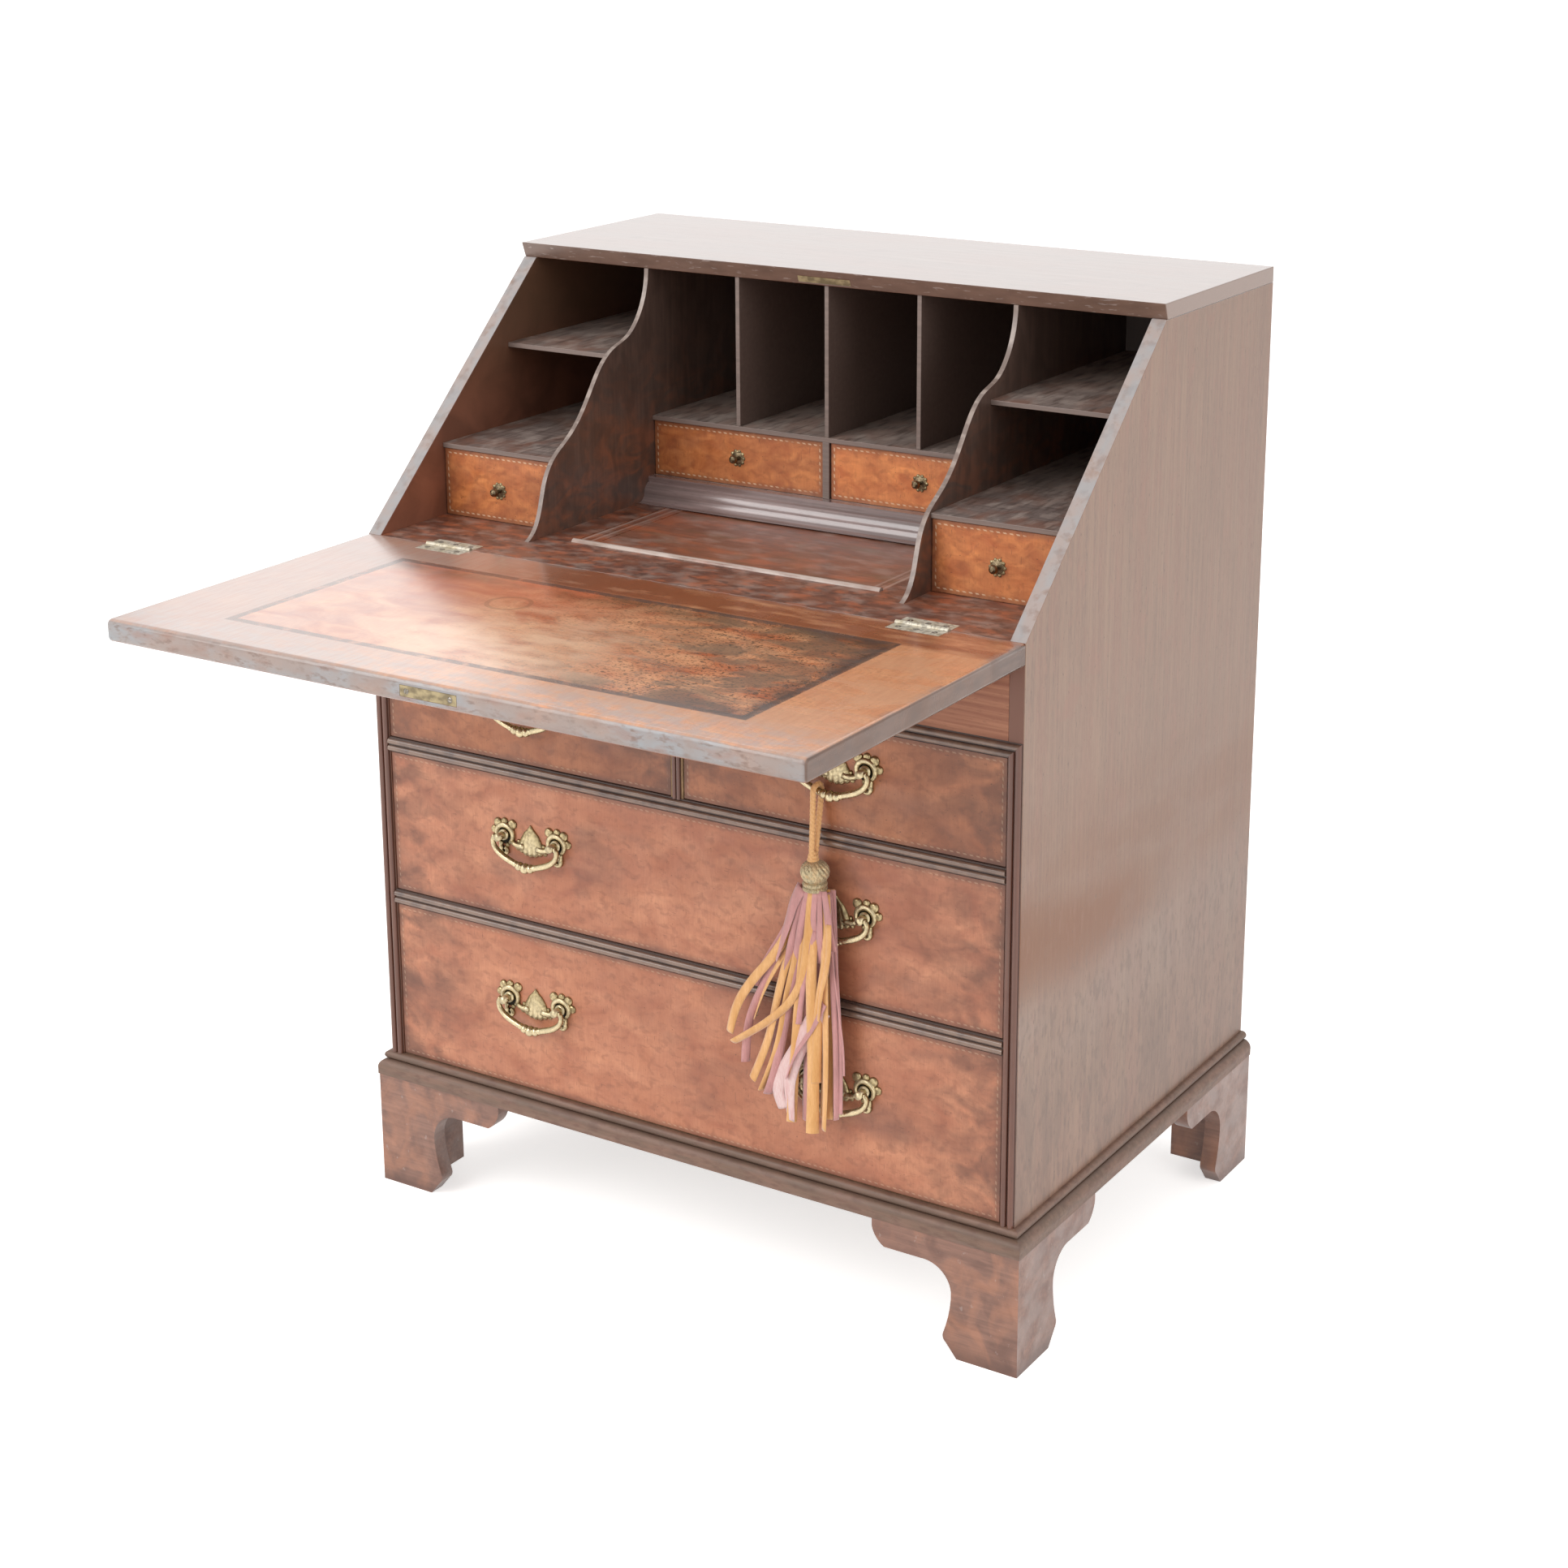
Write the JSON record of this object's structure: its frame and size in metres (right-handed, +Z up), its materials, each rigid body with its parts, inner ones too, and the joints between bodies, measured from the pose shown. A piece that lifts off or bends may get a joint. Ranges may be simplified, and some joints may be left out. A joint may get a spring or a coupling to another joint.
{
  "type": "writing bureau",
  "caption": "Slant-front writing bureau on bracket feet: hinged fall on two slides, fitted interior, two short and two long drawers with bail handles, and a key tassel.",
  "frame": {"origin": "on the floor, under the middle of the bureau's outside box with its fall open", "axes": "+Z up, +Y towards the back, +X to the right as seen from the front"},
  "size_m": [0.7862, 0.9018, 0.996],
  "materials": {
    "walnut_veneer": "waxed",
    "walnut_solid": "waxed",
    "interior_veneer": "waxed",
    "carcass_wood": "satin",
    "drawer_lining": "matte",
    "handle_brass": "aged",
    "hinge_brass": "aged",
    "tassel_cord": "matte",
    "tassel_head": "satin",
    "tassel_ribbon": "matte"
  },
  "bodies": {
    "carcass": {"back_panel": "carcass_wood", "base_moulding": "walnut_solid", "bottom_board": "carcass_wood", "bracket_feet": "walnut_solid", "centre_drawer_divider": "interior_veneer", "centre_shelves": "interior_veneer", "cushion_step": "walnut_solid", "desk_floor": "interior_veneer", "desk_hinge_leaves": "hinge_brass", "drawer_rails": "walnut_solid", "drawer_runners": "carcass_wood", "dust_boards": "carcass_wood", "frieze_panel": "walnut_veneer", "lock_strike": "hinge_brass", "loper_housings": "carcass_wood", "pigeonhole_dividers": "interior_veneer", "rail_beads": "walnut_solid", "serpentine_dividers": "interior_veneer", "short_drawer_partition": "carcass_wood", "side_left": "walnut_veneer", "side_right": "walnut_veneer", "side_shelves": "interior_veneer", "top_board": "walnut_veneer", "upright_beads": "walnut_solid", "well_cover_runners": "carcass_wood"},
    "fall": {"fall_panel": "walnut_veneer", "fall_hinge_leaves": "hinge_brass", "fall_lock": "hinge_brass"},
    "loper_left": {"loper_left": "walnut_solid"},
    "loper_right": {"loper_right": "walnut_solid"},
    "well_cover": {"well_cover": "interior_veneer"},
    "short_drawer_left": {"short_front_left": "walnut_veneer", "short_box_left": "drawer_lining", "short_plate_left": "handle_brass"},
    "short_bail_left": {"short_bail_left": "handle_brass"},
    "short_drawer_right": {"short_front_right": "walnut_veneer", "short_box_right": "drawer_lining", "short_plate_right": "handle_brass"},
    "short_bail_right": {"short_bail_right": "handle_brass"},
    "upper_drawer": {"upper_front": "walnut_veneer", "upper_box": "drawer_lining", "upper_plates": "handle_brass"},
    "upper_bail_left": {"upper_bail_left": "handle_brass"},
    "upper_bail_right": {"upper_bail_right": "handle_brass"},
    "lower_drawer": {"lower_front": "walnut_veneer", "lower_box": "drawer_lining", "lower_plates": "handle_brass"},
    "lower_bail_left": {"lower_bail_left": "handle_brass"},
    "lower_bail_right": {"lower_bail_right": "handle_brass"},
    "side_drawer_left": {"side_drawer_left": "interior_veneer", "side_knob_left": "handle_brass"},
    "side_drawer_right": {"side_drawer_right": "interior_veneer", "side_knob_right": "handle_brass"},
    "centre_drawer_left": {"centre_drawer_left": "interior_veneer", "centre_knob_left": "handle_brass"},
    "centre_drawer_right": {"centre_drawer_right": "interior_veneer", "centre_knob_right": "handle_brass"},
    "tassel": {"tassel_loop": "tassel_cord", "tassel_head": "tassel_head", "tassel_skirt": "tassel_ribbon"}
  },
  "joints": [
    {"name": "fall_hinge", "type": "hinge", "parent": "carcass", "child": "fall", "pos_m": [0, -0.07949, 0.731], "axis": [-1, 0, 0], "range_deg": [0, 137.94]},
    {"name": "loper_left_slide", "type": "slide", "parent": "carcass", "child": "loper_left", "axis": [0, 1, 0], "range_m": [0, 0.26]},
    {"name": "loper_right_slide", "type": "slide", "parent": "carcass", "child": "loper_right", "axis": [0, 1, 0], "range_m": [0, 0.26]},
    {"name": "well_cover_slide", "type": "slide", "parent": "carcass", "child": "well_cover", "axis": [0, 1, 0], "range_m": [0, 0.158]},
    {"name": "short_drawer_left_slide", "type": "slide", "parent": "carcass", "child": "short_drawer_left", "axis": [0, 1, 0], "range_m": [-0.34, 0]},
    {"name": "short_bail_left_swing", "type": "hinge", "parent": "short_drawer_left", "child": "short_bail_left", "pos_m": [-0.183, -0.09009, 0.581], "axis": [-1, 0, 0], "range_deg": [0, 82]},
    {"name": "short_drawer_right_slide", "type": "slide", "parent": "carcass", "child": "short_drawer_right", "axis": [0, 1, 0], "range_m": [-0.34, 0]},
    {"name": "short_bail_right_swing", "type": "hinge", "parent": "short_drawer_right", "child": "short_bail_right", "pos_m": [0.183, -0.09009, 0.581], "axis": [-1, 0, 0], "range_deg": [0, 82]},
    {"name": "upper_drawer_slide", "type": "slide", "parent": "carcass", "child": "upper_drawer", "axis": [0, 1, 0], "range_m": [-0.34, 0], "deforming": ["tassel_head", "tassel_skirt"]},
    {"name": "upper_bail_left_swing", "type": "hinge", "parent": "upper_drawer", "child": "upper_bail_left", "pos_m": [-0.183, -0.09009, 0.434], "axis": [-1, 0, 0], "range_deg": [0, 82]},
    {"name": "upper_bail_right_swing", "type": "hinge", "parent": "upper_drawer", "child": "upper_bail_right", "pos_m": [0.183, -0.09009, 0.434], "axis": [-1, 0, 0], "range_deg": [0, 82]},
    {"name": "lower_drawer_slide", "type": "slide", "parent": "carcass", "child": "lower_drawer", "axis": [0, 1, 0], "range_m": [-0.34, 0]},
    {"name": "lower_bail_left_swing", "type": "hinge", "parent": "lower_drawer", "child": "lower_bail_left", "pos_m": [-0.183, -0.09009, 0.25325], "axis": [-1, 0, 0], "range_deg": [0, 82]},
    {"name": "lower_bail_right_swing", "type": "hinge", "parent": "lower_drawer", "child": "lower_bail_right", "pos_m": [0.183, -0.09009, 0.25325], "axis": [-1, 0, 0], "range_deg": [0, 82]},
    {"name": "side_drawer_left_slide", "type": "slide", "parent": "carcass", "child": "side_drawer_left", "axis": [0, 1, 0], "range_m": [-0.1, 0]},
    {"name": "side_drawer_right_slide", "type": "slide", "parent": "carcass", "child": "side_drawer_right", "axis": [0, 1, 0], "range_m": [-0.1, 0]},
    {"name": "centre_drawer_left_slide", "type": "slide", "parent": "carcass", "child": "centre_drawer_left", "axis": [0, 1, 0], "range_m": [-0.15, 0]},
    {"name": "centre_drawer_right_slide", "type": "slide", "parent": "carcass", "child": "centre_drawer_right", "axis": [0, 1, 0], "range_m": [-0.15, 0]},
    {"name": "tassel_hang", "type": "hinge", "parent": "short_bail_right", "child": "tassel", "pos_m": [0.1685, -0.09009, 0.54751], "axis": [-1, 0, 0], "range_deg": [-82, 0]}
  ],
  "couplings": [
    {"joint": "tassel_hang", "follows": "short_bail_right_swing", "ratio": -1}
  ]
}
